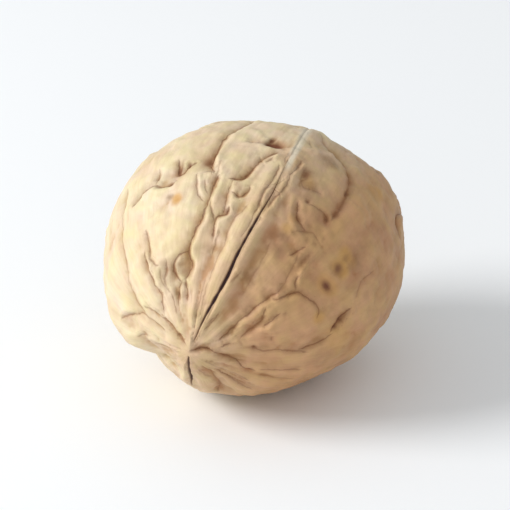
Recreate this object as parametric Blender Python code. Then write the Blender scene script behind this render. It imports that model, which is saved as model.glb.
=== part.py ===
# A whole walnut in its closed shell, lying on its side.
# Metres, +Z up. The nut's length runs along Y, with its tip towards -Y and dipping a little, and the nut
# is rolled over about its length. The origin is the centre of the small flat spot that it rests on.

from math import acos, cos, degrees, exp, radians, sin, sqrt

import bmesh
import bpy
from mathutils import Matrix, Vector
from mathutils.geometry import intersect_point_line

# Driving dimensions of the smooth body
LENGTH = 0.0379
CHEEK_TO_CHEEK = 0.0364
SEAM_TO_SEAM = 0.0320

# How the nut lies
DIP = radians(10)
ROLL = radians(15)
FLAT_DEPTH = 0.00045
SNAP = 0.00002

# The seam where the two halves of the shell meet, as places around the nut, and the ridge it stands on
SEAM_UPPER = 6
SEAM_LOWER = 180
SEAM_RIDGE = 0.00040
SEAM_RIDGE_SPREAD = 0.0022

# The furrows in the shell
FURROW_DEPTH = 0.00042
FURROW_SPREAD = 0.00105

SPHERE_SUBDIVISIONS = 5

# Places are given in degrees: around the length, 0 on the upper side and 90 on the +X cheek, and along
# it, 0 at the waist and 90 at the tip. Each swelling is (around, along, spread in degrees, rise in metres).
SWELLINGS = [
    (0, 90, 14, 0.00095),
    (0, -90, 12, 0.00040),
    (-119, 44, 14, 0.00110),
    (-141, 49, 9, -0.00115),
    (-127, 57, 8, 0.00100),
    (-144, 65, 8, -0.00080),
    (-98, 26, 14, 0.00020),
    (-60, -22, 15, -0.00035),
    (-28, -45, 15, -0.00085),
    (12, -54, 15, -0.00095),
    (58, -38, 14, 0.00090),
    (112, 4, 15, -0.00060),
    (125, 28, 22, -0.00110),
    (58, 52, 13, 0.00020),
    (150, -40, 15, 0.00030),
]

# Each furrow is a chain of (around, along) places. The opposite side of the nut has the same ones,
# carried through its middle.
FRONT_FURROWS = [
    [(-27, -16), (-28, -3), (-27, 11), (-22, 21), (-20, 31), (-21, 40), (-24, 52), (-23, 60), (-28, 65)],
    [(-3, -2), (-6, 10), (-9, 17), (-14, 20)],
    [(-12, 24), (-10, 31), (-13, 38), (-12, 46), (-13, 54)],
    [(-33, 14), (-40, 16), (-45, 21), (-57, 25)],
    [(-53, 44), (-53, 50), (-57, 57), (-56, 63), (-53, 69)],
    [(-72, 38), (-74, 46), (-77, 55), (-82, 62), (-87, 70)],
    [(43, 74), (38, 68), (37, 60), (38, 52), (36, 45), (36, 38), (34, 31)],
    [(44, 51), (45, 45), (50, 41), (58, 40)],
    [(80, 47), (78, 40), (73, 33)],
    [(66, 84), (84, 77), (93, 73), (99, 67)],
    [(12, -26), (18, -24), (27, -22), (33, -13)],
    [(20, 18), (23, 12), (30, 11), (36, 8)],
]

SHELL_COLOUR = (0.62, 0.45, 0.26, 1.0)
SHELL_ROUGHNESS = 0.6


def direction(around, along):
    """The unit vector from the nut's middle towards a place on its surface."""
    a = radians(around)
    b = radians(along)
    return Vector((cos(b) * sin(a), -sin(b), cos(b) * cos(a)))


def degrees_between(first, second):
    return degrees(acos(max(-1.0, min(1.0, first.dot(second)))))


def body_radius(way):
    """How far the surface is from the middle, before the seam and the furrows."""
    across = way.x / (CHEEK_TO_CHEEK / 2)
    lengthwise = way.y / (LENGTH / 2)
    upright = way.z / (SEAM_TO_SEAM / 2)
    radius = 1 / sqrt(across ** 2 + lengthwise ** 2 + upright ** 2)
    for around, along, spread, rise in SWELLINGS:
        radius += rise * exp(-(degrees_between(way, direction(around, along)) / spread) ** 2)
    return radius


def body_point(way):
    return way * body_radius(way)


def seam_rise(way, radius):
    """The ridge along the seam, which is highest on the seam and fades within a few millimetres."""
    seam = SEAM_UPPER if way.z > 0 else SEAM_LOWER
    side = Vector((cos(radians(seam)), 0.0, -sin(radians(seam))))
    off_seam = way.dot(side) * radius
    return SEAM_RIDGE * exp(-(off_seam / SEAM_RIDGE_SPREAD) ** 2)


def all_furrows():
    """The furrows as chains of points on the body, front and back."""
    chains = []
    for route in FRONT_FURROWS:
        front = [direction(around, along) for around, along in route]
        chains.append([body_point(way) for way in front])
        chains.append([body_point(-way) for way in front])
    return chains


def distance_to_chain(point, chain):
    """The shortest way from a point to a chain of straight stretches."""
    nearest = (point - chain[0]).length
    for start, end in zip(chain, chain[1:]):
        foot, share = intersect_point_line(point, start, end)
        if 0 < share < 1:
            nearest = min(nearest, (point - foot).length)
        nearest = min(nearest, (point - end).length)
    return nearest


def furrow_fall(point, chains):
    """How deep the nearest furrow takes this point in."""
    nearest = min(distance_to_chain(point, chain) for chain in chains)
    return FURROW_DEPTH * exp(-(nearest / FURROW_SPREAD) ** 2)


def shape_shell(bm):
    """Push every point of a ball out to the nut's surface, then ridge the seam and sink the furrows."""
    chains = all_furrows()
    for vert in bm.verts:
        way = vert.co.normalized()
        point = body_point(way)
        rise = seam_rise(way, point.length) - furrow_fall(point, chains)
        vert.co = point + way * rise


def lay_down(bm):
    """Turn the nut to the way it lies, and put the centre of its resting spot at the origin."""
    pose = Matrix.Rotation(DIP, 4, "X") @ Matrix.Rotation(ROLL, 4, "Y")
    bmesh.ops.transform(bm, matrix=pose, verts=bm.verts)

    lowest = min(vert.co.z for vert in bm.verts)
    level = Vector((0.0, 0.0, lowest + FLAT_DEPTH))
    everything = bm.verts[:] + bm.edges[:] + bm.faces[:]
    bmesh.ops.bisect_plane(bm, geom=everything, dist=SNAP, plane_co=level, plane_no=(0, 0, -1),
                           clear_outer=True)

    rim = [edge for edge in bm.edges if edge.is_boundary]
    for edge in rim:
        for vert in edge.verts:
            vert.co.z = level.z
    spot = bmesh.ops.edgeloop_fill(bm, edges=rim)["faces"]
    centre = spot[0].calc_center_median()
    bmesh.ops.translate(bm, vec=-centre, verts=bm.verts)
    bmesh.ops.recalc_face_normals(bm, faces=bm.faces)


def shell_material():
    material = bpy.data.materials.new("walnut_shell")
    material.use_nodes = True
    surface = material.node_tree.nodes["Principled BSDF"]
    surface.inputs["Base Color"].default_value = SHELL_COLOUR
    surface.inputs["Roughness"].default_value = SHELL_ROUGHNESS
    surface.inputs["Metallic"].default_value = 0.0
    return material


def make_walnut(collection):
    bm = bmesh.new()
    bmesh.ops.create_icosphere(bm, subdivisions=SPHERE_SUBDIVISIONS, radius=1.0)
    shape_shell(bm)
    lay_down(bm)

    mesh = bpy.data.meshes.new("walnut")
    bm.to_mesh(mesh)
    bm.free()
    mesh.shade_smooth()
    mesh.materials.append(shell_material())

    walnut = bpy.data.objects.new("walnut", mesh)
    collection.objects.link(walnut)
    return walnut


def main():
    for old in list(bpy.data.objects):
        bpy.data.objects.remove(old, do_unlink=True)
    collection = bpy.data.collections.new("walnut")
    bpy.context.scene.collection.children.link(collection)
    make_walnut(collection)


main()
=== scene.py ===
# %% [markdown]
# This lesson finishes a whole walnut that lies on a table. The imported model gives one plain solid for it,
# the right size and in the right place. The shell is modelled again here with all its furrows, and takes
# the solid's place. The first cell loads the solid and keeps its box, which the finished nut has to fit.

# %% Load the fixed frame
import math
import random

import bmesh
import bpy
import numpy as np
from mathutils import Matrix, Vector, noise


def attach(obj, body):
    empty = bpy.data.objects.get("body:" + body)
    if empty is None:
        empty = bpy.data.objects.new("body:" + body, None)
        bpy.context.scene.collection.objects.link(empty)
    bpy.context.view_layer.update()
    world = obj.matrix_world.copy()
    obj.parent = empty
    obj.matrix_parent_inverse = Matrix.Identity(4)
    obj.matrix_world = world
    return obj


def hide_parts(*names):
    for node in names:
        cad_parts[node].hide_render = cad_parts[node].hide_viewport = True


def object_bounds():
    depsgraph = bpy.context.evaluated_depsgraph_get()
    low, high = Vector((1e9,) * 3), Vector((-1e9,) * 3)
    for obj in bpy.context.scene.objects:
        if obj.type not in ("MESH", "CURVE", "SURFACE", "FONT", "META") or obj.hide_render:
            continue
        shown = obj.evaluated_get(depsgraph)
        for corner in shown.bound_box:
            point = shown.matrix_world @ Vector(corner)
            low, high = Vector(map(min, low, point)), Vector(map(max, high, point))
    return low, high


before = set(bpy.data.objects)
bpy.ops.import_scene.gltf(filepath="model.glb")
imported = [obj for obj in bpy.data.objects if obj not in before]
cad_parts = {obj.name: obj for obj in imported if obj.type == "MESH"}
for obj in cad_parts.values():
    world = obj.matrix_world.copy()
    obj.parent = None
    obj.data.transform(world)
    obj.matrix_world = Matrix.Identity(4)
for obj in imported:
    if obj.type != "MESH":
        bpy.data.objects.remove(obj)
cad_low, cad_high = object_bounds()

print("the solid's box, in mm:", [round(size * 1000, 1) for size in cad_high - cad_low])

# %% [markdown]
# A walnut is close to an ellipsoid: a little longer than it is wide, and lower through its seam. Slow
# swellings and dents make it less regular. A place on it is told by two angles, as on a globe: around
# the length (0 on the upper side, 90 on the cheek towards +X) and along it (0 at the waist, 90 at the
# tip). Everything on the shell is placed that way, so nothing has to be moved when a size changes.

# %% The smooth body and places on it
MM = 0.001
LENGTH = 37.9 * MM
CHEEK_TO_CHEEK = 36.4 * MM
SEAM_TO_SEAM = 32.0 * MM
HALF_SIZES = np.array([CHEEK_TO_CHEEK, LENGTH, SEAM_TO_SEAM]) / 2

# around, along, spread in degrees, rise
SWELLINGS = [
    (0, 90, 14, 0.95 * MM),
    (0, -90, 12, 0.40 * MM),
    (-119, 44, 14, 1.10 * MM),
    (-141, 49, 9, -1.15 * MM),
    (-127, 57, 8, 1.00 * MM),
    (-144, 65, 8, -0.80 * MM),
    (-98, 26, 14, 0.20 * MM),
    (-60, -22, 15, -0.35 * MM),
    (-28, -45, 15, -0.85 * MM),
    (12, -54, 15, -0.95 * MM),
    (58, -38, 14, 0.90 * MM),
    (112, 4, 15, -0.60 * MM),
    (125, 28, 22, -1.10 * MM),
    (58, 52, 13, 0.20 * MM),
    (150, -40, 15, 0.30 * MM),
]


def direction(around, along):
    a = math.radians(around)
    b = math.radians(along)
    return np.array([math.cos(b) * math.sin(a), -math.sin(b), math.cos(b) * math.cos(a)])


def degrees_from(ways, place):
    return np.degrees(np.arccos(np.clip(ways @ direction(*place), -1, 1)))


def body_points(ways):
    """Where the smooth body's surface lies in each of these directions from its middle."""
    radius = 1 / np.linalg.norm(ways / HALF_SIZES, axis=1)
    for around, along, spread, rise in SWELLINGS:
        radius += rise * np.exp(-(degrees_from(ways, (around, along)) / spread) ** 2)
    return ways * radius[:, None]


tip = body_points(direction(0, 90)[None])
print("the tip is", round(float(np.linalg.norm(tip)) / MM, 1), "mm from the nut's middle")

# %% [markdown]
# The furrows are what makes it a walnut. Each one is written as a chain of places, and a smooth curve is
# laid through them. A little wandering keeps the curve from looking drawn. Each chain says how deep it
# cuts, how far it is from its bottom to its rim, both in millimetres, and how brown it is.

# %% The furrows on the left cheek
# depth, breadth, brownness, places as (around, along)
LEFT_FURROWS = [
    (0.30, 0.7, 0.6, [(-25, -30), (-25, -24), (-26, -19), (-27, -12), (-28, -6)]),
    (0.55, 0.8, 1.0, [(-27, -11), (-28, -5), (-28, 1), (-28, 5), (-28, 9), (-27, 13), (-25, 16), (-22, 19)]),
    (0.12, 0.4, 0.4, [(-22, 10), (-22, 14), (-21, 18), (-21, 22)]),
    (0.45, 0.7, 0.9, [(-20, 18), (-21, 22), (-21, 26), (-21, 31), (-21, 35), (-21, 39)]),
    (0.55, 0.7, 1.0, [(-21, 35), (-21, 39), (-22, 42), (-23, 45), (-24, 48), (-26, 51), (-27, 54), (-26, 56),
                      (-24, 58), (-24, 60), (-26, 63), (-29, 65)]),
    (0.26, 0.4, 0.9, [(-26, 54), (-30, 54), (-34, 56), (-37, 58), (-38, 60), (-37, 62), (-34, 64),
                      (-30, 66)]),
    (0.18, 0.4, 0.6, [(-31, 18), (-30, 22), (-29, 25), (-26, 30), (-22, 33)]),
    (0.16, 0.35, 0.6, [(-28, 19), (-26, 17), (-24, 18), (-23, 20)]),
    (0.16, 0.35, 0.6, [(-26, 21), (-25, 24), (-24, 26), (-22, 29)]),
    (0.22, 0.4, 0.8, [(-5, 20), (-4, 22), (-5, 25), (-7, 27), (-10, 26), (-12, 25)]),
    (0.24, 0.45, 0.7, [(-29, 64), (-33, 66), (-36, 68), (-37, 71), (-36, 75)]),
    (0.24, 0.4, 0.9, [(-28, 63), (-27, 66), (-26, 69), (-25, 73)]),
    (0.18, 0.4, 0.7, [(-43, 68), (-42, 72), (-41, 77)]),
    (0.24, 0.5, 0.7, [(-54, 41), (-54, 48), (-53, 51), (-53, 53), (-52, 55), (-50, 57), (-46, 57)]),
    (0.30, 0.5, 0.8, [(-57, 49), (-58, 54), (-59, 57), (-58, 60), (-58, 64), (-56, 67), (-57, 69), (-61, 71),
                      (-66, 75)]),
    (0.15, 0.4, 0.5, [(-47, 58), (-49, 63), (-47, 66), (-43, 69)]),
    (0.18, 0.45, 0.6, [(-42, 55), (-44, 60), (-46, 63), (-45, 67)]),
    (0.22, 0.7, 0.4, [(-71, 12), (-71, 30), (-73, 38), (-75, 45), (-78, 51), (-82, 56), (-84, 59), (-87, 62),
                      (-87, 65), (-89, 68)]),
    (0.35, 0.6, 0.9, [(-63, 29), (-61, 27), (-59, 25), (-57, 23), (-54, 22), (-51, 22), (-48, 23)]),
    (0.28, 0.5, 0.8, [(-52, 22), (-49, 23), (-46, 23), (-43, 23), (-40, 21)]),
    (0.20, 0.6, 0.6, [(-51, 12), (-51, 17), (-51, 22)]),
    (0.45, 0.55, 1.0, [(-43, 9), (-42, 14), (-41, 17), (-39, 17), (-37, 14), (-33, 11)]),
    (0.10, 0.5, 0.3, [(-19, -5), (-14, -7), (-9, -8)]),
    (0.40, 0.55, 0.9, [(-1, -4), (-4, 0), (-6, 4), (-7, 8), (-8, 12), (-9, 16), (-10, 18), (-12, 19),
                       (-16, 20)]),
    (0.10, 0.35, 0.6, [(-2, 0), (-3, 3), (-5, 6)]),
    (0.28, 0.6, 0.6, [(-13, 19), (-13, 24), (-13, 27), (-12, 30), (-11, 34), (-11, 37)]),
    (0.38, 0.45, 1.0, [(-9, 32), (-9, 36), (-11, 37), (-13, 38), (-14, 40), (-13, 43), (-12, 48)]),
    (0.22, 0.45, 0.7, [(-20, 31), (-19, 33), (-17, 36), (-15, 39), (-14, 41)]),
    (0.12, 0.4, 0.4, [(-10, 42), (-9, 48), (-10, 54)]),
    (0.14, 0.45, 0.5, [(-1, 29), (-2, 32), (-4, 36), (-5, 42), (-4, 48), (-5, 57), (-5, 64)]),
    (0.12, 0.4, 0.5, [(-9, 62), (-10, 70), (-10, 79)]),
    (0.10, 0.4, 0.4, [(-5, 62), (-5, 70), (-4, 78)]),
    (0.26, 0.5, 0.6, [(-110, 54), (-105, 57), (-97, 63), (-91, 66), (-90, 69), (-88, 73), (-86, 79)]),
    (0.28, 0.5, 0.6, [(-82, 65), (-80, 67), (-75, 72), (-72, 75), (-66, 80), (-66, 86)]),
    (0.30, 0.4, 0.9, [(-62, 81), (-60, 83), (-54, 86), (-45, 88)]),
    (0.22, 0.6, 0.5, [(-119, 62), (-116, 66), (-112, 70)]),
    (0.20, 0.8, 0.3, [(-116, 68), (-120, 74), (-118, 80), (-105, 86)]),
]
print(len(LEFT_FURROWS), "furrows on the left cheek")

# %% The furrows on the right cheek
RIGHT_FURROWS = [
    (0.14, 0.4, 0.5, [(13, 54), (11, 61)]),
    (0.16, 0.45, 0.6, [(16, 71), (16, 76), (15, 81)]),
    (0.35, 0.5, 0.8, [(50, 80), (44, 75), (42, 72), (40, 70), (39, 68), (39, 65), (38, 61), (38, 57)]),
    (0.24, 0.45, 0.6, [(38, 60), (38, 55), (39, 52), (40, 50)]),
    (0.16, 0.7, 0.4, [(39, 53), (38, 48), (36, 44), (34, 39), (32, 34)]),
    (0.24, 0.5, 0.6, [(59, 73), (55, 69), (52, 66), (49, 62), (45, 60), (41, 57)]),
    (0.18, 0.4, 0.8, [(55, 63), (52, 58), (50, 54)]),
    (0.20, 0.45, 0.8, [(29, 39), (31, 35), (32, 30)]),
    (0.18, 0.4, 0.8, [(39, 40), (42, 44), (46, 45)]),
    (0.28, 0.45, 0.7, [(40, 55), (42, 53), (44, 50), (46, 46), (49, 44), (54, 42), (58, 41),
                       (61, 41), (65, 43)]),
    (0.45, 0.6, 1.0, [(68, 27), (72, 33), (74, 36), (76, 39)]),
    (0.22, 0.5, 0.8, [(81, 52), (80, 44), (78, 40), (76, 37)]),
    (0.14, 0.5, 0.6, [(74, 68), (77, 64), (78, 60), (81, 54), (84, 47)]),
    (0.50, 0.45, 1.0, [(-60, 89), (30, 89), (52, 87), (60, 85), (72, 83), (80, 81)]),
    (0.34, 0.5, 0.8, [(66, 84), (76, 82), (84, 80), (88, 78), (92, 76), (96, 74), (100, 72), (103, 70),
                      (105, 66)]),
    (0.14, 0.35, 0.7, [(2, 4), (3, 14), (3, 22), (4, 30)]),
    (0.10, 0.35, 0.5, [(2, 18), (3, 27), (4, 36), (4, 44)]),
    (0.12, 0.4, 0.7, [(64, 80), (60, 75)]),
    (0.18, 0.5, 0.5, [(110, 85), (116, 77), (118, 71), (118, 64)]),
    (0.50, 0.8, 0.5, [(138, 84), (143, 78), (148, 72), (153, 66), (159, 60), (166, 53)]),
    (0.20, 0.5, 0.5, [(122, 80), (128, 73), (130, 66), (131, 58)]),
    (0.15, 0.5, 0.4, [(155, 82), (153, 72)]),
    (0.14, 0.4, 0.6, [(101, 65), (98, 60), (97, 56), (97, 48)]),
    (0.12, 0.4, 0.4, [(108, 64), (107, 56), (106, 48)]),
    (0.16, 0.4, 0.6, [(64, 60), (67, 61), (70, 61)]),
    (0.18, 0.6, 0.4, [(7, -34), (13, -27), (19, -26), (26, -23), (31, -16), (33, -7), (34, -1),
                      (34, 8), (34, 14)]),
    (0.14, 0.8, 0.35, [(12, -2), (13, 4), (16, 8), (20, 7), (25, 6)]),
    (0.24, 0.5, 0.7, [(17, 16), (19, 20), (21, 23), (25, 25), (29, 26)]),
    (0.18, 0.45, 0.5, [(21, 15), (24, 14), (28, 13), (32, 13), (33, 16)]),
    (0.12, 0.5, 0.4, [(6, -21), (9, -15)]),
    (0.22, 0.4, 0.7, [(9, -4), (9, 2), (9, 7), (9, 13), (9, 18), (8, 22), (8, 28)]),
    (0.10, 0.35, 0.6, [(3, -6), (3, 3)]),
    (0.16, 0.7, 0.35, [(22, 31), (25, 28), (31, 24), (36, 25)]),
    (0.14, 0.7, 0.3, [(18, 38), (20, 46), (21, 54), (24, 62)]),
    (0.14, 0.35, 0.6, [(10, 60), (11, 59), (13, 56), (15, 55)]),
    (0.16, 0.35, 0.7, [(11, 78), (13, 77), (16, 75), (19, 74)]),
    (0.16, 0.6, 0.4, [(63, 9), (62, 18), (66, 25)]),
]
print(len(RIGHT_FURROWS), "furrows on the right cheek")

# %% [markdown]
# The cheeks go on round to where the photograph doesn't show them. There the furrows are made up in the
# same way: they run from the base towards the tip, bend from side to side, and send off short branches.

# %% The furrows further round the cheeks
SIDE_FURROWS = [
    (0.32, 0.6, 0.8, [(-58, -62), (-62, -52), (-66, -42), (-64, -32), (-68, -22), (-72, -12), (-70, -4)]),
    (0.24, 0.5, 0.7, [(-64, -32), (-56, -28), (-50, -22), (-46, -14)]),
    (0.30, 0.6, 0.7, [(-96, -60), (-92, -48), (-96, -36), (-92, -24), (-86, -14), (-88, -2),
                      (-94, 10), (-92, 22)]),
    (0.20, 0.5, 0.6, [(-92, -24), (-82, -28), (-76, -36), (-78, -46)]),
    (0.25, 0.5, 0.7, [(-116, -40), (-112, -28), (-116, -16), (-110, -6), (-114, 6), (-108, 18),
                       (-110, 30)]),
    (0.20, 0.5, 0.6, [(-88, -2), (-98, -6), (-104, -12), (-112, -12)]),
    (0.18, 0.5, 0.5, [(-40, -44), (-44, -36), (-40, -28), (-43, -22)]),
    (0.20, 0.5, 0.6, [(-140, -10), (-146, 4), (-142, 16), (-148, 28), (-144, 40), (-150, 52)]),
    (0.20, 0.5, 0.6, [(-142, 16), (-132, 20), (-126, 28)]),
    (0.30, 0.6, 0.8, [(58, -62), (54, -52), (58, -42), (64, -34), (62, -26), (68, -18)]),
    (0.22, 0.5, 0.7, [(64, -34), (74, -36), (80, -28), (88, -26)]),
    (0.30, 0.6, 0.7, [(86, -58), (90, -46), (86, -34), (92, -22), (98, -12), (102, -2), (100, 8),
                      (105, 18)]),
    (0.24, 0.5, 0.7, [(116, -50), (112, -38), (118, -26), (114, -14), (120, -4), (116, 8),
                       (122, 20), (118, 32)]),
    (0.20, 0.5, 0.6, [(118, -26), (108, -22), (104, -12)]),
    (0.24, 0.5, 0.7, [(140, -20), (146, -8), (142, 4), (148, 16), (144, 28), (150, 40), (146, 54)]),
    (0.20, 0.5, 0.6, [(144, 28), (134, 32), (128, 38)]),
    (0.22, 0.5, 0.6, [(44, -56), (40, -48), (44, -40), (41, -34)]),
]
print(len(SIDE_FURROWS), "furrows further round")

# %% [markdown]
# A smooth curve goes through each chain of places. It is kept as directions from the middle of the nut,
# about a tenth of a millimetre apart on its surface, so that it follows the shell's swellings by itself.

# %% Laying a smooth curve through places
LINE_STEP = 0.10 * MM


def smooth_line(places, step=LINE_STEP):
    """Directions close together along a smooth curve through these places."""
    knots = [direction(*place) for place in places]
    knots = [2 * knots[0] - knots[1]] + knots + [2 * knots[-1] - knots[-2]]
    line = []
    for before, start, end, after in zip(knots, knots[1:], knots[2:], knots[3:]):
        count = max(2, round(np.linalg.norm(end - start) * HALF_SIZES[1] / step))
        for t in np.arange(count) / count:
            line.append(0.5 * (2 * start + (end - before) * t
                               + (2 * before - 5 * start + 4 * end - after) * t ** 2
                               + (3 * start - before - 3 * end + after) * t ** 3))
    line.append(knots[-2])
    line = np.array(line)
    return line / np.linalg.norm(line, axis=1)[:, None]


print("the first furrow's curve has", len(smooth_line(LEFT_FURROWS[0][3])), "samples")

# %% [markdown]
# A furrow bends from side to side more often than its places say, so each curve is shifted by slow noise.
# The dice that choose where the noise starts are seeded, and give the same nut each time.

# %% Letting a curve wander
dice = random.Random(7)


def wander(line, reach=0.22 * MM, wave=2.4 * MM):
    """Shift a line from side to side by slow noise, always by less than its reach."""
    tangent = np.gradient(line, axis=0)
    side = np.cross(tangent, line)
    side /= np.linalg.norm(side, axis=1)[:, None]
    row = dice.uniform(0, 100)
    sway = np.array([noise.noise(Vector((number * LINE_STEP / wave, row, 0))) for number in range(len(line))])
    line = line + side * (sway * reach / HALF_SIZES[1])[:, None]
    return line / np.linalg.norm(line, axis=1)[:, None]


# %% [markdown]
# The side that rests on the table and the far side carry furrows of the same kind. They are the same
# chains carried through the middle of the nut to the opposite side, each nudged a few degrees, and they
# wander more, so that they don't look like copies.

# %% All the furrows as curves
NUDGE = 2.5


def far_side(places, nudge):
    """These places carried through the nut's middle, all nudged the same way by a few degrees."""
    turn = dice.uniform(-nudge, nudge)
    slip = dice.uniform(-nudge, nudge)
    return [(around + 180 + turn, -along + slip) for around, along in places]


front = LEFT_FURROWS + RIGHT_FURROWS
back = [(*looks, far_side(places, NUDGE)) for *looks, places in front]
furrows = []
for depth, breadth, brown, places in front:
    furrows.append((depth, breadth, brown, wander(smooth_line(places))))
for depth, breadth, brown, places in back + SIDE_FURROWS:
    furrows.append((depth, breadth, brown, wander(smooth_line(places), 0.40 * MM, 1.8 * MM)))
print(len(furrows), "furrows,", round(sum(len(f[3]) for f in furrows) * LINE_STEP, 2), "m in all")

# %% [markdown]
# The two halves of the shell meet in a seam. From the tip over the upper side it has opened to a dark
# crack, widest near the tip and closing to a hair further up. A shorter slit opens under the tip. Round
# the rest of the nut the seam is only a line.

# %% The seam and its crack
# around, along, half-width of the crack in millimetres
CRACK_PLACES = [
    (-3, 86, 0.04), (2, 83, 0.10), (4, 76, 0.15), (6, 68, 0.19), (7, 60, 0.15), (6, 50, 0.13), (6, 40, 0.12),
    (6, 30, 0.08), (6, 20, 0.05), (5, 10, 0.03), (4, 0, 0.02),
]
LOWER_CRACK_PLACES = [(184, 88, 0.08), (180, 84, 0.16), (178, 79, 0.19), (178, 73, 0.16), (179, 67, 0.10),
                      (180, 60, 0.04)]
# around, along
UPPER_SEAM = [(4, 3), (4, -6), (3, -16), (2, -30), (0, -50), (0, -70), (0, -84)]
LOWER_SEAM = [(178, 62), (179, 50), (180, 30), (181, 5), (180, -25), (179, -50), (180, -70), (180, -85)]


def crack_line(places):
    """The crack's middle line, and its half-width at each sample, made uneven by noise."""
    line = smooth_line([place[:2] for place in places], LINE_STEP / 2)
    share = np.linspace(0, 1, len(line))
    knots = np.linspace(0, 1, len(places))
    beats = np.array([noise.noise(Vector((number * 0.04, 3, 0))) for number in range(len(line))])
    return line, np.interp(share, knots, [place[2] for place in places]) * (1 + 0.5 * beats) * MM


upper_crack = crack_line(CRACK_PLACES)
lower_crack = crack_line(LOWER_CRACK_PLACES)
seam_lines = [smooth_line(UPPER_SEAM), smooth_line(LOWER_SEAM)]
print("the crack is up to", round(2 * upper_crack[1].max() / MM, 2), "mm wide")

# %% [markdown]
# To carve a line, every point of the shell has to know how far it is from it. The nearest sample of the
# line gives the distance, how far along the line it is, and whether the point lies left or right of it.

# %% How far each point is from a line
POINTS_AT_A_TIME = 4000


def near_line(points, line, reach):
    """The points within reach of a line: their numbers, distances, nearest samples and sides."""
    path = body_points(line)
    middle = path.mean(axis=0)
    span = np.linalg.norm(path - middle, axis=1).max() + reach
    close = np.flatnonzero(np.linalg.norm(points - middle, axis=1) < span)
    side = np.cross(np.gradient(path, axis=0), line)
    found = []
    for start in range(0, len(close), POINTS_AT_A_TIME):
        some = close[start:start + POINTS_AT_A_TIME]
        gaps = np.linalg.norm(points[some][:, None] - path[None], axis=2)
        sample = gaps.argmin(axis=1)
        apart = gaps[np.arange(len(some)), sample]
        sign = np.sign(np.einsum("ij,ij->i", points[some] - path[sample], side[sample]))
        keep = apart < reach
        found.append((some[keep], apart[keep], sample[keep], sign[keep]))
    return tuple(np.concatenate(column) for column in zip(*found))


# %% [markdown]
# The mesh starts as an icosphere, whose triangles are all alike, so nothing pinches at the ends of the
# nut. It is fine enough for the lumps but not for the cuts. So the edges that lie close to a furrow are
# split once, and those close to the crack once more.

# %% The ball with finer triangles along the furrows
BALL_SUBDIVISIONS = 7
FURROW_BAND = 0.55 * MM
CRACK_BAND = 0.60 * MM


def ways_of(bm):
    ways = np.array([vert.co for vert in bm.verts], dtype=float)
    return ways / np.linalg.norm(ways, axis=1)[:, None]


def split_near(bm, lines, band):
    """Split every edge whose two ends both lie within the band beside one of the lines."""
    points = body_points(ways_of(bm))
    close = np.zeros(len(points), bool)
    for line in lines:
        close[near_line(points, line, band)[0]] = True
    bm.verts.ensure_lookup_table()
    chosen = [edge for edge in bm.edges if close[edge.verts[0].index] and close[edge.verts[1].index]]
    bmesh.ops.subdivide_edges(bm, edges=chosen, cuts=1, use_grid_fill=True)
    bm.verts.index_update()


ball = bmesh.new()
bmesh.ops.create_icosphere(ball, subdivisions=BALL_SUBDIVISIONS, radius=1.0)
ball.verts.index_update()
cracks = [upper_crack[0], lower_crack[0]]
split_near(ball, [f[3] for f in furrows] + cracks + seam_lines, FURROW_BAND)
split_near(ball, cracks, CRACK_BAND)
bmesh.ops.triangulate(ball, faces=ball.faces)
ways = ways_of(ball)
points = body_points(ways)
print("the ball has", len(ball.faces), "triangles")

# %% [markdown]
# Now the relief, which is kept in millimetres as one number for each point. A few small helpers shape it:
# one keeps the larger of two values, so that the deeper of two furrows wins where they meet, one rises
# smoothly, one fades a line out at both ends, and one is a bell-shaped hump.

# %% Helpers for the relief
def raise_to(array, index, values):
    array[index] = np.maximum(array[index], values)


def smooth_step(low, high, value):
    t = np.clip((value - low) / (high - low), 0, 1)
    return t * t * (3 - 2 * t)


def end_fade(sample, count, run):
    left = np.minimum(sample, count - 1 - sample) * LINE_STEP
    return smooth_step(0, min(run, count * LINE_STEP * 0.4), left)


def hump(offset, middle, spread):
    return np.exp(-((offset - middle) / spread) ** 2)


# %% [markdown]
# Each furrow is a soft valley with a gentle bank and a steep one, a narrow cut at its bottom and a thin
# raised rim on the steep bank, as where dough folds. A very wide, shallow fall on both sides makes what
# lies between the furrows swell like a cushion. Along a furrow the depth rises and falls a little.

# %% Carving the furrows
CUSHION_SHARE = 0.45
CUSHION_SPREAD = 2.6 * MM
CUSHION_REACH = 4.5 * MM
VALLEY_SHARE = 0.70
GENTLE = 2.2
STEEP = 1.1
CUT_SHARE = 0.52
CUT_WIDTH = 0.40
NARROWEST_CUT = 0.20 * MM
RIM_SHARE = 0.28
SHORT_RUN = 0.9 * MM
LONG_RUN = 2.4 * MM
BEAT_LENGTH = 1.3 * MM
cushion, valley, cut, rim, brownness = np.zeros((5, len(ways)))


def steep_side(line):
    """Which side of the line, as near_line tells it, lies further round the nut."""
    across = np.cross(np.gradient(line, axis=0), line)
    onward = np.cross(line, np.array([0, 1, 0]))
    return 1 if np.einsum("ij,ij->i", across, -onward).sum() > 0 else -1


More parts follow.
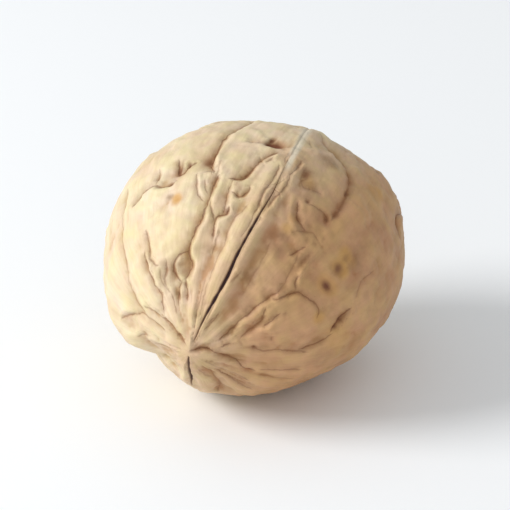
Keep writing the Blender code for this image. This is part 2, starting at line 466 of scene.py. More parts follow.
def carve(depth, breadth, brown, line):
    index, apart, sample, side = near_line(points, line, CUSHION_REACH)
    steep = steep_side(line) * side
    width = breadth * MM
    beat = 0.80 + 0.20 * np.sin(sample * LINE_STEP / BEAT_LENGTH + dice.uniform(0, 6))
    short = depth * end_fade(sample, len(line), SHORT_RUN) * beat
    long = depth * end_fade(sample, len(line), LONG_RUN) * beat
    bank = hump(apart, 0, np.where(steep > 0, STEEP, GENTLE) * width)
    raise_to(cushion, index, CUSHION_SHARE * long * hump(apart, 0, CUSHION_SPREAD))
    raise_to(valley, index, VALLEY_SHARE * long * bank)
    raise_to(cut, index, CUT_SHARE * short * hump(apart, 0, max(CUT_WIDTH * width, NARROWEST_CUT)))
    raise_to(rim, index, RIM_SHARE * short * (1 + 0.7 * steep) * hump(apart, 1.3 * width, 0.5 * width))
    # the brown spreads wider on the gentle bank: husk brown there is partly painted shade
    husk_and_shade_spread = hump(apart, 0, np.where(steep > 0, 0.6, 1.6) * width)
    raise_to(brownness, index, brown * short / depth * husk_and_shade_spread)


for depth, breadth, brown, line in furrows:
    carve(depth, breadth, brown, line)
print("deepest valley", round(valley.max(), 2), "mm, deepest cut", round(cut.max(), 2), "mm")

# %% [markdown]
# A furrow's bottom is a hairline, finer than the mesh. So each point also stores how far it is from the
# line, with a sign for the side it is on. The material finds where that passes through zero, and draws the
# hairline there as sharp as it likes. Lines that come close to each other go on separate layers.

# %% Hairlines at the bottom of the furrows
LAYERS = 4
HAIRLINE_REACH = 0.75
HAIRLINE_HOLD = 0.40
HAIRLINE_FADE = 0.6 * MM
offset_from_line = np.full((LAYERS, len(ways)), HAIRLINE_REACH)
hairline = np.zeros((LAYERS, len(ways)))
taken = np.zeros((LAYERS, len(ways)), bool)


def add_hairline(strength, line):
    """Put a line on the first layer that is free there, or else the emptiest. Returns the points shared."""
    index, apart, sample, side = near_line(points, line, HAIRLINE_REACH * MM)
    shared = taken[:, index].sum(axis=1)
    layer = int(np.argmin(shared)) if shared.min() else int(np.flatnonzero(shared == 0)[0])
    free = ~taken[layer, index]
    some = index[free]
    path = body_points(line)
    across = np.cross(np.gradient(path, axis=0), line)
    across /= np.linalg.norm(across, axis=1)[:, None]
    offset = np.einsum("ij,ij->i", points[some] - path[sample[free]], across[sample[free]]) / MM
    taken[layer, some] = True
    offset_from_line[layer, some] = offset
    hold = 1 - smooth_step(HAIRLINE_HOLD, HAIRLINE_REACH * 0.93, apart[free] / MM)
    hairline[layer, some] = strength * hold * end_fade(sample[free], len(line), HAIRLINE_FADE)
    return int(shared[layer])


sharing = sum(add_hairline(brown, line) for depth, breadth, brown, line in furrows)
print("points where two hairlines share a layer:", sharing)

# %% [markdown]
# The seam stands on a low ridge. Beside the crack the two banks differ: the left one is a broad smooth
# swelling, the right one a narrow ridge with a shallow trough behind it. Where the crack has closed, a
# strip of dry papery husk is left on the seam.

# %% The seam's ridge, banks and crack
SEAM_UPPER = math.radians(6)
SEAM_LOWER = math.radians(180)
SEAM_RIDGE = 0.40 * MM
SEAM_RIDGE_SPREAD = 2.2 * MM
CRACK_DEPTH = 0.60
SEAM_LINE_DEPTH = 0.12
# height, distance right of the crack and spread of each swelling or trough beside it, in mm
BANKS = [(0.30, -1.2, 0.8), (-0.18, -2.6, 0.6), (0.26, 0.75, 0.40), (-0.20, 2.0, 0.8)]
seam_rise, crack, crack_cut = np.zeros((3, len(ways)))


def ridge_of_seam():
    """The low ridge that the seam stands on, in metres, at every point."""
    seam_at = np.where(ways[:, 2] > 0, SEAM_UPPER, SEAM_LOWER)
    off_seam = (ways[:, 0] * np.cos(seam_at) - ways[:, 2] * np.sin(seam_at)) * np.linalg.norm(points, axis=1)
    return SEAM_RIDGE * np.exp(-(off_seam / SEAM_RIDGE_SPREAD) ** 2)


def open_crack(line, half_widths, banks):
    index, apart, sample, side = near_line(points, line, 4 * MM)
    half = half_widths[sample]
    inside = 1 - smooth_step(0.3, 1.4, apart / half)
    raise_to(crack_cut, index, inside * CRACK_DEPTH * np.clip(half / (0.18 * MM), 0, 1))
    raise_to(crack, index, (1 - smooth_step(0.5, 1.5, apart / half)) * np.clip(half / (0.14 * MM), 0.2, 1))
    raise_to(brownness, index, 0.5 * np.exp(-(apart / (half + 0.22 * MM)) ** 2))
    share = sample / len(line)
    fade = smooth_step(0, 0.3, share) * (1 - smooth_step(0.75, 1, share))
    for height, middle, spread in banks:
        seam_rise[index] += MM * fade * height * hump(apart * side / MM, middle, spread)


seam_rise += ridge_of_seam()
open_crack(*upper_crack, banks=BANKS)
open_crack(*lower_crack, banks=[])
for line in seam_lines:
    index, apart, sample, side = near_line(points, line, 0.9 * MM)
    fade = end_fade(sample, len(line), 3 * MM)
    raise_to(cut, index, SEAM_LINE_DEPTH * fade * hump(apart / MM, 0, 0.18))
    add_hairline(0.5, line)
print("seam stands", round(seam_rise.max() / MM, 2), "mm proud")

# %% [markdown]
# Single pits, bowls and bumps are round or drawn out one way. One helper lays them on, in the plane that
# touches the nut there, and noise makes their edges ragged. The far side gets the same ones, nudged.

# %% Pits, bowls and bumps
PIT_NUDGE = 4
# around, along, half-length, half-width in mm, turn in degrees, depth in mm (below 0 for a bump), brown
PITS = [
    (-6, -9, 1.1, 0.65, 80, 0.55, 1.2), (-8, -12, 0.7, 0.3, 20, 0.25, 1.1), (-3, -8, 0.5, 0.3, 90, 0.2, 1),
    (-18, -17, 0.4, 0.3, 90, 0.08, 0.5), (-29, 10, 1, 0.75, 0, 0.3, 0.9), (-41, 15, 0.9, 0.55, 0, 0.28, 1),
    (-37, 13, 0.45, 0.35, 0, 0.18, 1), (-23, 14, 0.4, 0.3, 0, 0.1, 0.6), (-47, 20, 1.3, 1.1, 0, 0.2, 0.35),
    (-51, 18, 0.6, 0.4, 0, 0.14, 0.8), (-43, 23, 0.35, 0.45, 0, 0.2, 1), (-43, 60, 0.7, 0.35, 0, 0.15, 0.7),
    (-36, 70, 0.6, 0.3, 0, 0.2, 1), (-28, 66, 0.3, 0.25, 0, 0.12, 0.9), (-31, 60, 1.6, 0.9, 0, 0.12, 0.5),
    (-13, 48, 3, 0.8, 0, 0.24, 0.25), (-10, 35, 0.5, 0.4, 0, 0.2, 0.9), (-8, 23, 0.9, 0.6, 0, 0.12, 0.5),
    (-8, 26, 0.35, 0.25, 0, 0.1, 0.7), (-5, 26, 0.3, 0.2, 0, 0.08, 0.6), (-11, 22, 0.35, 0.25, 0, 0.1, 0.7),
    (37, 35, 1.3, 0.42, 0, 0.25, 0.7), (53, 34, 0.95, 0.55, 80, 0.3, 1.1), (50, 26, 0.75, 0.75, 0, 0.2, 1),
    (49, 20, 0.5, 0.4, 0, 0.14, 0.7), (73, 68, 0.35, 0.24, 30, 0.24, 0.95), (72, 33, 0.5, 0.35, 0, 0.2, 1),
    (74, 36, 0.4, 0.3, 0, 0.16, 1), (21, 14, 0.3, 0.3, 0, 0.16, 0.9), (23, 23, 0.5, 0.6, 0, 0.16, 0.6),
    (32, 14, 0.4, 0.35, 0, 0.2, 0.9), (34, 8, 0.6, 0.35, 0, 0.14, 0.7), (31, 28, 0.35, 0.3, 0, 0.1, 0.6),
    (35, 27, 0.3, 0.3, 0, 0.1, 0.6), (36, 22, 0.35, 0.3, 0, 0.1, 0.6), (14, 2, 0.8, 0.5, 0, 0.16, 0.95),
    (33, -6, 0.6, 0.3, 0, 0.2, 0.95), (103, 68, 0.5, 0.25, 0, 0.2, 0.9), (17, 36, 0.8, 0.6, 0, 0.12, 0.6),
    (20, 21, 0.5, 0.35, 0, -0.16, 0), (27, 17, 1.2, 1.4, 0, 0.14, 0.1), (59, 50, 4, 3.2, 0, -0.3, 0),
    (-62, 40, 5, 3.5, 0, -0.2, 0), (-38, 44, 3.5, 2.4, 0, -0.2, 0), (-15, 8, 3, 2.2, 0, -0.22, 0),
    (-66, 66, 3, 1.6, 0, -0.18, 0), (-100, 45, 3.5, 2.5, 0, -0.15, 0), (22, -8, 4, 2.6, 0, -0.2, 0),
    (45, 66, 1.6, 0.9, 0, -0.14, 0), (165, 68, 1.2, 0.8, 0, -0.3, 0), (138, 66, 1.6, 1, 0, -0.15, 0),
    (-173, 66, 1, 0.6, 0, -0.3, 0), (-156, 62, 0.8, 0.7, 0, -0.35, 0),
]


def noise_at(vectors):
    return np.array([noise.noise(vector) for vector in vectors])


def press(around, along, half_length, half_width, turn, depth, brown):
    """Sink a pit, or raise a bump, that is longer one way than the other."""
    place = direction(around, along)
    near = np.flatnonzero(ways @ place > 0.9)
    lengthwise = np.cross(place, direction(around + 90, 0))
    crosswise = np.cross(lengthwise, place)
    a = math.radians(turn)
    offset = (ways[near] - place) * np.linalg.norm(points[near], axis=1)[:, None] / MM
    u = offset @ (lengthwise * math.cos(a) + crosswise * math.sin(a)) / half_length
    v = offset @ (crosswise * math.cos(a) - lengthwise * math.sin(a)) / half_width
    spread = (u ** 2 + v ** 2) * (1 + 0.9 * ragged[near])
    relief[near] -= depth * np.exp(-spread)
    raise_to(brownness, near, 0.8 * brown * np.exp(-spread))
    raise_to(pit_core, near, brown ** 4 * np.exp(-1.6 * spread))


relief, pit_core = np.zeros((2, len(ways)))
ragged = noise_at(ways * 22 + np.array([80, 0, 0]))
for around, along, *shape in PITS:
    for place in [(around, along)] + far_side([(around, along)], PIT_NUDGE):
        press(*place, *shape)
print(len(PITS) * 2, "pits and bumps")

# %% [markdown]
# Some things on the shell are long but aren't furrows: thin raised folds between the wrinkles, broad ridges
# on the right cheek, and one broad valley, which is a fold with a height below zero.

# %% Folds, ridges and a valley
# height and half-width in mm, places
FOLDS = [
    (0.30, 0.24, [(37, 26), (38, 30), (38, 34), (39, 37), (40, 40), (42, 42), (45, 43), (48, 44)]),
    (0.24, 0.35, [(14, 14), (15, 18), (17, 22), (20, 26), (25, 28), (30, 29)]),
    (-0.34, 1.1, [(13, -25), (19, -27), (26, -23), (31, -16), (33, -7), (34, -1), (34, 8), (34, 14),
                  (33, 21)]),
    (0.32, 1.2, [(45, -9), (42, -2), (40, 7), (38, 16), (35, 24)]),
    (0.22, 0.8, [(5, -8), (8, 3), (11, 13), (14, 20)]),
    (0.16, 0.35, [(-24, -2), (-25, 4), (-24, 9), (-22, 13)]),
    (0.16, 0.35, [(-18, 20), (-18, 26), (-17, 31), (-17, 36)]),
    (0.22, 0.35, [(-19, 40), (-20, 45), (-22, 50), (-23, 54), (-20, 58)]),
    (0.14, 0.30, [(-2, 10), (-3, 18), (-3, 26)]),
    (0.32, 0.40, [(59, 67), (58, 64), (56, 60), (53, 56)]),
    (0.14, 0.35, [(-34, 24), (-30, 22), (-27, 19)]),
]
for height, half_width, places in FOLDS:
    line = smooth_line(places)
    index, apart, sample, side = near_line(points, line, 3 * half_width * MM)
    relief[index] += height * end_fade(sample, len(line), 2 * MM) * hump(apart, 0, half_width * MM)
print(len(FOLDS), "folds, ridges and valleys")

# %% [markdown]
# Between the furrows the shell isn't smooth either. It has slow lumps, ribs and wrinkles that run from
# the base to the tip, and small dimples. The ribs come from noise that is drawn out along the length:
# it is read from the angle around, so the ribs draw together at the tip as they do on the real nut.

# %% Lumps, ribs and dimples
RIB_HEIGHT = 0.12
LUMP_HEIGHT = 0.26
DIMPLE_HEIGHT = 0.10
END_FOLD_HEIGHT = 0.33


def angles_of(ways):
    around = np.arctan2(ways[:, 0], ways[:, 2])
    along = np.arcsin(np.clip(-ways[:, 1], -1, 1))
    return around, along


around, along = angles_of(ways)
grain = np.stack([np.cos(around), np.sin(around), along], axis=1)
waist = np.clip(np.cos(along), 0, 1) ** 0.5
bend = noise_at(ways * 3.0 + 11)
ribs = noise_at(grain * [4.5, 4.5, 1.3] + bend[:, None] * 0.25)
wrinkles = noise_at(grain * [11, 11, 2.2] + bend[:, None] * 0.5 + 5)
lumps = noise_at(ways * 3.6 + 3)
swells = noise_at(ways * 8 + 17)
dimples = noise_at(ways * 16)
relief += LUMP_HEIGHT * lumps + 0.55 * LUMP_HEIGHT * swells + DIMPLE_HEIGHT * dimples
relief += RIB_HEIGHT * ribs * waist + 0.5 * RIB_HEIGHT * wrinkles * waist
steepness = np.degrees(np.abs(along))
ends = smooth_step(50, 72, steepness) * (1 - smooth_step(82, 89, steepness))
folds = noise_at(grain * [5.5, 5.5, 0.6] + bend[:, None] * 0.2 + 60)
relief += END_FOLD_HEIGHT * ends * (folds - 0.6 * hump(folds, 0, 0.06))
print("relief so far from", round(relief.min(), 2), "to", round(relief.max(), 2), "mm")

# %% [markdown]
# Fine furrows and creases lie where noise passes through zero, which gives thin winding lines. Then all
# that was kept apart is added up: what was carved, the crack, and the seam with its banks.

# %% Fine furrows, and the whole relief
FINE_FURROW_DEPTH = 0.10
CREASE_DEPTH = 0.05
fine_furrows = hump(noise_at(grain * [5, 5, 2.4] + bend[:, None] * 0.8 + 40), 0, 0.035)
creases = hump(noise_at(ways * 7 + 70), 0, 0.07) + 0.5 * hump(noise_at(ways * 14 + 90), 0, 0.08)
fine_furrows *= smooth_step(-0.1, 0.35, noise_at(ways * 4 + 50))
relief -= FINE_FURROW_DEPTH * fine_furrows + CREASE_DEPTH * creases
relief += rim * (1 - np.clip(cut * 6, 0, 1)) - cushion - valley - cut - crack_cut
relief += seam_rise / MM
print("relief from", round(relief.min(), 2), "to", round(relief.max(), 2), "mm")

# %% [markdown]
# The colour follows the relief: hollows keep the brown of the husk that once filled them, under a painted
# shade, and what stands up has been rubbed pale, under a painted highlight. How much a point stands up is
# told by comparing its height with the height of its surroundings, which is the same relief after it has
# been evened out many times over.

# %% Hollows and crests
EVENING_ROUNDS = 60
HOLLOW_RANGE = 0.26
CREST_RANGE = 0.10
edges = np.array([[vert.index for vert in edge.verts] for edge in ball.edges])
edge_lengths = np.linalg.norm(points[edges[:, 0]] - points[edges[:, 1]], axis=1)
pull = 1 / edge_lengths
pull_sum = np.bincount(edges.ravel(), np.repeat(pull, 2), minlength=len(ways))


def evened(heights, rounds):
    for _ in range(rounds):
        total = np.bincount(edges[:, 0], heights[edges[:, 1]] * pull, minlength=len(heights))
        total += np.bincount(edges[:, 1], heights[edges[:, 0]] * pull, minlength=len(heights))
        heights = total / pull_sum
    return heights


stand = relief - evened(relief, EVENING_ROUNDS)
masks = {}
# hollows get painted shade and crests a painted highlight, over real husk brown and rubbing
masks["hollow"] = smooth_step(0.02, HOLLOW_RANGE, -stand)
masks["crest"] = np.clip(stand / CREST_RANGE, 0, 1)
masks["brownness"] = brownness
masks["crack"] = crack
masks["pit_core"] = pit_core
for name in ("paper", "rust", "dusk"):
    masks[name] = np.zeros(len(ways))

# %% [markdown]
# Stains are round patches with ragged edges: rusty ones, and duller, darker ones. The seam keeps a strip
# of dry papery husk where the crack has closed. One cheek is warmer and darker all over: partly its own
# tone, partly painted shade on the cheek turned from the key lamp. A slow change from the other cheek's
# colour to it keeps the border from showing.

# %% Stains, the papery strip and the warmer cheek with painted shade
# around, along, radius in degrees, strength
RUST_STAINS = [
    (-37, 31, 3.0, 1.0), (16, 4, 4, 0.35), (64, 42, 3, 0.6), (51, 25, 5, 0.7), (53, 33, 5, 0.5),
    (49, 20, 5, 0.6), (44, -20, 5, 0.5), (80, 35, 8, 0.3), (20, 25, 3, 0.4), (20, 30, 3, 0.4),
    (148, 30, 9, 0.5), (-150, -20, 8, 0.5), (110, -35, 9, 0.5), (-100, -40, 7, 0.4),
]
DUSK_PATCHES = [
    (19, -14, 5, 0.8), (-41, 30, 2.0, 0.9), (14, 1, 3, 0.9), (18, 6, 4, 0.8), (20, 11, 3, 0.5),
    (20, 34, 3.5, 0.8), (24, 28, 3, 0.5), (23, 40, 4, 0.6), (22, 54, 4, 0.6), (31, 64, 5, 0.5),
    (52, 17, 6, 0.5), (36, 34, 4, 0.4), (43, -18, 4, 0.4), (-31, 60, 3, 0.6), (-43, 62, 5, 0.45),
    (-15, 52, 4, 0.5), (74, 68, 3, 0.25), (90, 40, 7, 0.4), (-150, 20, 9, 0.4), (170, -40, 10, 0.5),
]
PAPER_PLACES = [(7, 8), (6, 3), (5, -4), (4, -10), (3, -20), (2, -36)]
paper_line = smooth_line(PAPER_PLACES)


def stain(mask, places):
    rough = noise_at(ways * 9 + 20)
    for around, along, radius, strength in places:
        apart = degrees_from(ways, (around, along)) / radius
        np.maximum(mask, strength * (1 - smooth_step(0.3, 1.3, apart + 0.5 * rough)), out=mask)


stain(masks["rust"], RUST_STAINS)
stain(masks["dusk"], DUSK_PATCHES)
index, apart, sample, side = near_line(points, paper_line, 2.2 * MM)
fibres = noise_at(grain[index] * [40, 40, 3])
strip = 1 - smooth_step(0.15, 0.85, apart / MM + 0.6 * fibres)
masks["paper"][index] = 0.75 * strip * end_fade(sample, len(paper_line), 2.5 * MM)
relief[index] += (0.03 + 0.10 * fibres) * masks["paper"][index]
# the warm mask is partly the cheek's own warmer tone, partly painted shade away from the key lamp
masks["warm_and_shaded"] = smooth_step(-0.15, 0.72, ways @ direction(84, 14) + 0.12 * noise_at(ways * 4 + 31))
for name, mask in masks.items():
    print(name, "covers", round(float(mask.mean()) * 100, 1), "%")

# %% [markdown]
# The relief is added outwards from the nut's middle. Then the nut is turned the way it lies, and set
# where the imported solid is. What would go below the table is pressed flat: the small spot it rests on.

# %% Shaping the shell and laying it down
DIP = math.radians(10)
ROLL = math.radians(15)


def laid_down(positions):
    turn = Matrix.Rotation(DIP, 3, "X") @ Matrix.Rotation(ROLL, 3, "Y")
    return positions @ np.array(turn).T


def place_like_solid(positions, plain):
    """Move the shell so that the plain body's box has the middle and the top of the solid's box."""
    low = plain.min(axis=0)
    high = plain.max(axis=0)
    shift = (np.array(cad_low) + np.array(cad_high) - low - high) / 2
    shift[2] = cad_high.z - high[2]
    return positions + shift, shift


plain = laid_down(points + ways * ridge_of_seam()[:, None])
shell_points, shift = place_like_solid(laid_down(points + ways * relief[:, None] * MM), plain)
shell_points[:, 2] = np.maximum(shell_points[:, 2], 0)
print("the nut's middle is at", [round(value / MM, 2) for value in shift], "mm")
print("resting points:", int((shell_points[:, 2] == 0).sum()))

# %% [markdown]
# The ball's points move to their places, and it becomes a mesh. Every mask goes with it as an attribute of
# its own, which the material reads by name. The piece rides on the nut's one body and replaces the solid.

# %% The shell as an object
def new_object(name, data):
    thing = bpy.data.objects.new(name, data)
    bpy.context.scene.collection.objects.link(thing)
    return thing


for vert, place in zip(ball.verts, shell_points):
    vert.co = place
bmesh.ops.recalc_face_normals(ball, faces=ball.faces)
shell_mesh = bpy.data.meshes.new("walnut_shell")
ball.to_mesh(shell_mesh)
ball.free()
shell_mesh.shade_smooth()
for number in range(LAYERS):
    masks[f"offset_{number}"] = offset_from_line[number]
    masks[f"hairline_{number}"] = hairline[number]
for name, mask in masks.items():
    layer = shell_mesh.attributes.new(name, "FLOAT", "POINT")
    layer.data.foreach_set("value", mask.astype(np.float32))
layer = shell_mesh.attributes.new("grain", "FLOAT_VECTOR", "POINT")
layer.data.foreach_set("vector", grain.astype(np.float32).ravel())
shell = new_object("walnut_shell", shell_mesh)
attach(shell, "root")
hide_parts("walnut")
print("the shell has", len(shell_mesh.polygons), "triangles")

# %% [markdown]
# A walnut's shell is dry wood: cream on what is rubbed, tan in between, brown in the furrows and nearly
# black in the crack. Part of it is painted light: a painted highlight on the crests, and painted shade in the
# hollows, on the furrows' gentle banks, in the crack and over the warmer cheek. The material mixes these by
# the masks, and breaks each one up with noise so that no area has one flat colour. A few helpers keep the
# node tree short to write.

# %% Helpers for the node tree
def linear(red, green, blue):
    """A colour as seen on a screen, 0 to 255, as the light values that Blender's sockets take."""
    return tuple(((c / 255) / 12.92 if c <= 10 else ((c / 255 + 0.055) / 1.055) ** 2.4)
                 for c in (red, green, blue)) + (1.0,)


class Tree:
    """Adds nodes to one material, and links each to what feeds it."""

    def __init__(self, material):
        material.use_nodes = True
        self.nodes = material.node_tree.nodes
        self.links = material.node_tree.links
        self.surface = self.nodes["Principled BSDF"]

    def feed(self, socket, value):
        if isinstance(value, bpy.types.NodeSocket):
            self.links.new(value, socket)
        else:
            socket.default_value = value

    def add(self, kind, sockets, **settings):
        """A new node with these settings, and with values or links fed into its sockets."""
        node = self.nodes.new(kind)
        for name, value in settings.items():
            setattr(node, name, value)
        for key, value in sockets.items():
            self.feed(node.inputs[key], value)
        return node

    def mask(self, name, output="Fac"):
        return self.add("ShaderNodeAttribute", {}, attribute_name=name).outputs[output]

    def noise(self, vector, scale, detail=3.0, roughness=0.55):
        sockets = {"Vector": vector, "Scale": scale, "Detail": detail, "Roughness": roughness}
        return self.add("ShaderNodeTexNoise", sockets).outputs["Fac"]

    def stretch(self, vector, scale):
        return self.add("ShaderNodeMapping", {"Vector": vector, "Scale": scale}).outputs["Vector"]

    def range(self, value, low, high, to_low=0.0, to_high=1.0):
        sockets = {"Value": value, "From Min": low, "From Max": high, "To Min": to_low, "To Max": to_high}
        return self.add("ShaderNodeMapRange", sockets).outputs["Result"]

    def math(self, operation, first, second=0.0, clamp=True):
        sockets = {0: first, 1: second}
        return self.add("ShaderNodeMath", sockets, operation=operation, use_clamp=clamp).outputs["Value"]

    def times(self, first, second):
        return self.math("MULTIPLY", first, second)

    def mix(self, share, first, second, blend="MIX"):
        sockets = {"Factor": share, "A": first, "B": second}
        return self.add("ShaderNodeMix", sockets, data_type="RGBA", blend_type=blend).outputs["Result"]


print("mid grey on a screen is", round(linear(128, 128, 128)[0], 2), "of full light")

# %% [markdown]
# The ground colour comes first. The cheek to the left is cream with straw clouds and tan streaks. The one
# to the right is warmer and darker, partly its own tone and partly painted shade, with brown grit in its
# streaks. What stands up is paler on both, rubbed and with a painted highlight. Fine threads run
# lengthwise all over, and patches a few millimetres wide lean to pink or to yellow.

# %% The ground colour
CREAM = linear(226, 216, 195)
STRAW = linear(218, 201, 168)
TAN = linear(203, 178, 135)
# the warm cheek's colours, darker partly by painted shade
WARM_SHADED_STRAW = linear(200, 161, 119)
WARM_SHADED_TAN = linear(184, 141, 101)
# crest colours: rubbed pale and a painted highlight; on the warm cheek also its painted shade
CREST_PALE_AND_HIGHLIGHT = linear(240, 228, 188)
WARM_SHADED_CREST_AND_HIGHLIGHT = linear(216, 180, 130)
BROWN = linear(150, 113, 76)
PINK_TINT = linear(255, 243, 240)
YELLOW_TINT = linear(251, 247, 230)


def ground_colour(tree, coordinates, grain, threads):
    clouds = tree.range(tree.noise(coordinates, 170, 4), 0.30, 0.70)
    streaks = tree.range(tree.noise(tree.stretch(grain, (7, 7, 2.0)), 1.0, 5, 0.6), 0.38, 0.68)
    grit = tree.range(tree.noise(coordinates, 650, 4, 0.6), 0.36, 0.66)
    light = tree.mix(clouds, CREAM, STRAW)
    light = tree.mix(tree.times(streaks, 0.45), light, TAN)
    # a painted highlight, with the rubbing, on what stands up
    light = tree.mix(tree.times(tree.mask("crest"), 0.30), light, CREST_PALE_AND_HIGHLIGHT)
    warm_and_shaded = tree.mix(clouds, WARM_SHADED_STRAW, WARM_SHADED_TAN)
    warm_and_shaded = tree.mix(tree.times(tree.times(streaks, grit), 0.45), warm_and_shaded, BROWN)
    warm_and_shaded = tree.mix(tree.times(tree.mask("crest"), 0.30), warm_and_shaded, WARM_SHADED_CREST_AND_HIGHLIGHT)
    colour = tree.mix(tree.mask("warm_and_shaded"), light, warm_and_shaded)
    colour = tree.mix(tree.times(threads, 0.14), colour, BROWN)
    tint = tree.mix(tree.range(tree.noise(coordinates, 420, 3), 0.38, 0.62), PINK_TINT, YELLOW_TINT)
    return tree.mix(1.0, colour, tint, "MULTIPLY")


# %% [markdown]
# The hairlines come from the stored distances. Noise shifts each line a little and makes it thicker and
# thinner on its way, and the strongest of the layers shows.

# %% Hairlines from the stored distances
def hairlines(tree, coordinates):
    """Where the stored distance from a furrow's line passes through zero."""
    sway = tree.range(tree.noise(coordinates, 1500, 3), 0.3, 0.7, -0.10, 0.10)
    width = tree.range(tree.noise(coordinates, 500, 2), 0.35, 0.65, 0.07, 0.17)
    drawn = 0.0
    for number in range(LAYERS):
        offset = tree.math("ADD", tree.mask(f"offset_{number}"), sway, clamp=False)
        share = tree.math("DIVIDE", tree.math("ABSOLUTE", offset, clamp=False), width, clamp=False)
        line = tree.times(tree.range(share, 1.0, 0.35), tree.mask(f"hairline_{number}"))
        drawn = tree.math("MAXIMUM", drawn, line)
    return drawn


# %% [markdown]
# Over the ground colour go the stains, then the painted shade of the hollows, the brown of the husk in the
# furrows, partly painted shade on their gentle banks, the hairlines and the pits. The papery strip lies on
# top, and the crack, dark inside and with painted shade, cuts through it all.

# %% Stains, husk and painted shade, pits and crack over the ground colour
DUSK = linear(132, 98, 64)
RUST = linear(200, 148, 68)
HOLLOW_HUSK_AND_SHADE = linear(224, 205, 186)
DARK_BROWN = linear(112, 62, 32)
PAPER = linear(206, 198, 178)
# the crack is dark partly from the shell's inside and partly by painted shade, as its carved gap is shallow
CRACK_INSIDE_AND_SHADE = linear(86, 60, 60)


def add_marks(tree, colour, specks, drawn):
    # darker brown patches where the dusk mask lies
    dusk_share = tree.times(tree.mask("dusk"), tree.range(specks, 0, 1, 0.55, 0.95))
    colour = tree.mix(dusk_share, colour, DUSK)
    colour = tree.mix(tree.times(tree.mask("rust"), 0.85), colour, RUST)
    # painted shade in the hollows, over the husk brown they keep
    colour = tree.mix(tree.mask("hollow"), colour, HOLLOW_HUSK_AND_SHADE, "MULTIPLY")
    # husk brown in the furrows, wider on the gentle bank as painted shade
    husk_and_shade = tree.times(tree.mask("brownness"), tree.range(specks, 0, 1, 0.50, 0.90))
    colour = tree.mix(husk_and_shade, colour, BROWN)
    colour = tree.mix(tree.times(drawn, 0.60), colour, DARK_BROWN)
    colour = tree.mix(tree.times(tree.mask("pit_core"), 0.8), colour, DARK_BROWN)
    colour = tree.mix(tree.mask("paper"), colour, PAPER)
    return tree.mix(tree.mask("crack"), colour, CRACK_INSIDE_AND_SHADE)


# %% [markdown]
# Dry shell is matt, and a little rougher in its hollows. Its pores and threads are far finer than the mesh,
# so they are a bump in the material, and the same bump sinks the hairlines.

# %% Sheen and pores
PORE_DEPTH = 0.10 * MM


def add_sheen(tree, specks):
    rough = tree.range(specks, 0, 1, 0.50, 0.64)
    rough = tree.math("ADD", rough, tree.times(tree.mask("hollow"), 0.2))
    tree.feed(tree.surface.inputs["Roughness"], rough)


def add_pores(tree, coordinates, threads, drawn):
    fine = tree.times(tree.noise(coordinates, 2600, 3, 0.6), 0.5)
    fine = tree.math("ADD", fine, tree.times(threads, 0.3))
    fine = tree.math("SUBTRACT", fine, drawn, clamp=False)
    pores = tree.add("ShaderNodeBump", {"Strength": 0.5, "Distance": PORE_DEPTH, "Height": fine})
    tree.feed(tree.surface.inputs["Normal"], pores.outputs["Normal"])


# %% The shell's material
def paint_shell(material):
    tree = Tree(material)
    coordinates = tree.add("ShaderNodeTexCoord", {}).outputs["Object"]
    grain = tree.mask("grain", "Vector")
    threads = tree.range(tree.noise(tree.stretch(grain, (34, 34, 5)), 1.0, 4, 0.6), 0.40, 0.70)
    specks = tree.range(tree.noise(coordinates, 900, 4, 0.65), 0.35, 0.70)
    drawn = hairlines(tree, coordinates)
    colour = ground_colour(tree, coordinates, grain, threads)
    tree.feed(tree.surface.inputs["Base Color"], add_marks(tree, colour, specks, drawn))
    add_sheen(tree, specks)
    add_pores(tree, coordinates, threads, drawn)


shell_material = bpy.data.materials.new("walnut_shell")
paint_shell(shell_material)
shell_mesh.materials.append(shell_material)
print("the shell's material has", len(shell_material.node_tree.nodes), "nodes")

# %% [markdown]
# The nut lies on a plain pale floor, which isn't part of it. It is large enough to fill the picture.

# %% Floor
FLOOR_HALF_SIZE = 3.0
FLOOR_COLOUR = (0.94, 0.955, 0.97, 1)


def make_floor():
    bm = bmesh.new()
    bmesh.ops.create_grid(bm, x_segments=1, y_segments=1, size=FLOOR_HALF_SIZE)
    mesh = bpy.data.meshes.new("floor")
    bm.to_mesh(mesh)
    bm.free()
    material = bpy.data.materials.new("pale_floor")
    material.use_nodes = True
    surface = material.node_tree.nodes["Principled BSDF"]
    surface.inputs["Base Color"].default_value = FLOOR_COLOUR
    surface.inputs["Roughness"].default_value = 0.7
    mesh.materials.append(material)
    floor = new_object("floor", mesh)


make_floor()
print("the floor is", 2 * FLOOR_HALF_SIZE, "m wide")

# %% [markdown]
# The light is soft studio light: one large lamp from the upper left, a weaker one in front, and a bright
# surround that keeps the shadows open. The lamps are placed by the camera's directions, so those come
# first: the camera looks a little from the right of the tip, and 27 degrees down.

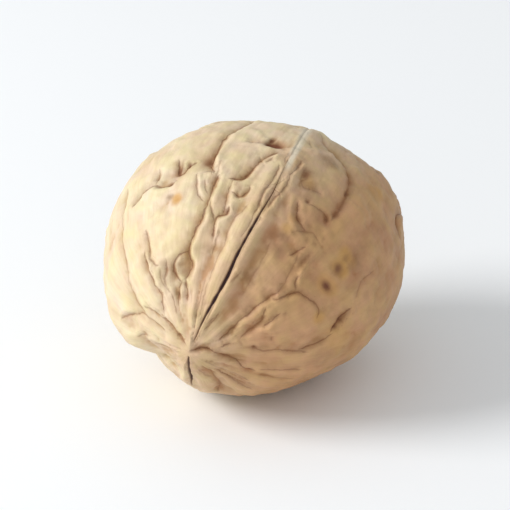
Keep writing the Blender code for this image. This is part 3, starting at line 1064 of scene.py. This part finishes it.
# %% Light
NUT_MIDDLE = (cad_low + cad_high) / 2
CAMERA_AZIMUTH = math.radians(23)
CAMERA_ELEVATION = math.radians(27)
camera_right = Vector((math.cos(CAMERA_AZIMUTH), math.sin(CAMERA_AZIMUTH), 0))
camera_back = Vector((math.sin(CAMERA_AZIMUTH) * math.cos(CAMERA_ELEVATION),
                      -math.cos(CAMERA_AZIMUTH) * math.cos(CAMERA_ELEVATION), math.sin(CAMERA_ELEVATION)))
ahead = Vector((camera_back.x, camera_back.y, 0)).normalized()
up = Vector((0, 0, 1))


def make_lamp(name, offset, size, power):
    """A round lamp that is this far from the nut's middle and shines at it."""
    lamp = bpy.data.lights.new(name, "AREA")
    lamp.shape = "DISK"
    lamp.size = size
    lamp.energy = power
    holder = new_object(name, lamp)
    holder.location = NUT_MIDDLE + Vector(offset)
    holder.rotation_euler = (-Vector(offset)).to_track_quat("-Z", "Y").to_euler()


make_lamp("key", -0.58 * camera_right + 0.08 * ahead + 0.37 * up, 0.36, 3.8)
make_lamp("front", -0.10 * camera_right + 0.62 * ahead + 0.30 * up, 0.50, 0.5)
world = bpy.data.worlds.new("studio")
world.use_nodes = True
world.node_tree.nodes["Background"].inputs["Color"].default_value = (0.97, 0.99, 1, 1)
world.node_tree.nodes["Background"].inputs["Strength"].default_value = 0.58
bpy.context.scene.world = world
print("two lamps and the surround are lit")

# %% [markdown]
# The camera looks along the direction that the lamps were placed by. It stands well back with a long lens,
# so the nut keeps its true outline. The script asks for plain colours, with no film-like curve over them.

# %% Camera
CAMERA_DISTANCE = 0.55
LENS = 318


def make_camera():
    data = bpy.data.cameras.new("camera")
    data.lens = LENS
    camera = new_object("camera", data)
    camera.location = NUT_MIDDLE + camera_back * CAMERA_DISTANCE
    camera.rotation_euler = (-camera_back).to_track_quat("-Z", "Y").to_euler()
    data.clip_start = 0.01
    bpy.context.scene.camera = camera


make_camera()
bpy.context.scene.view_settings.view_transform = "Standard"
print("the camera stands", CAMERA_DISTANCE, "m from the nut's middle")

# %% Sizes, and the end
print("CAD box:", [round(v / MM, 2) for v in cad_low], [round(v / MM, 2) for v in cad_high])
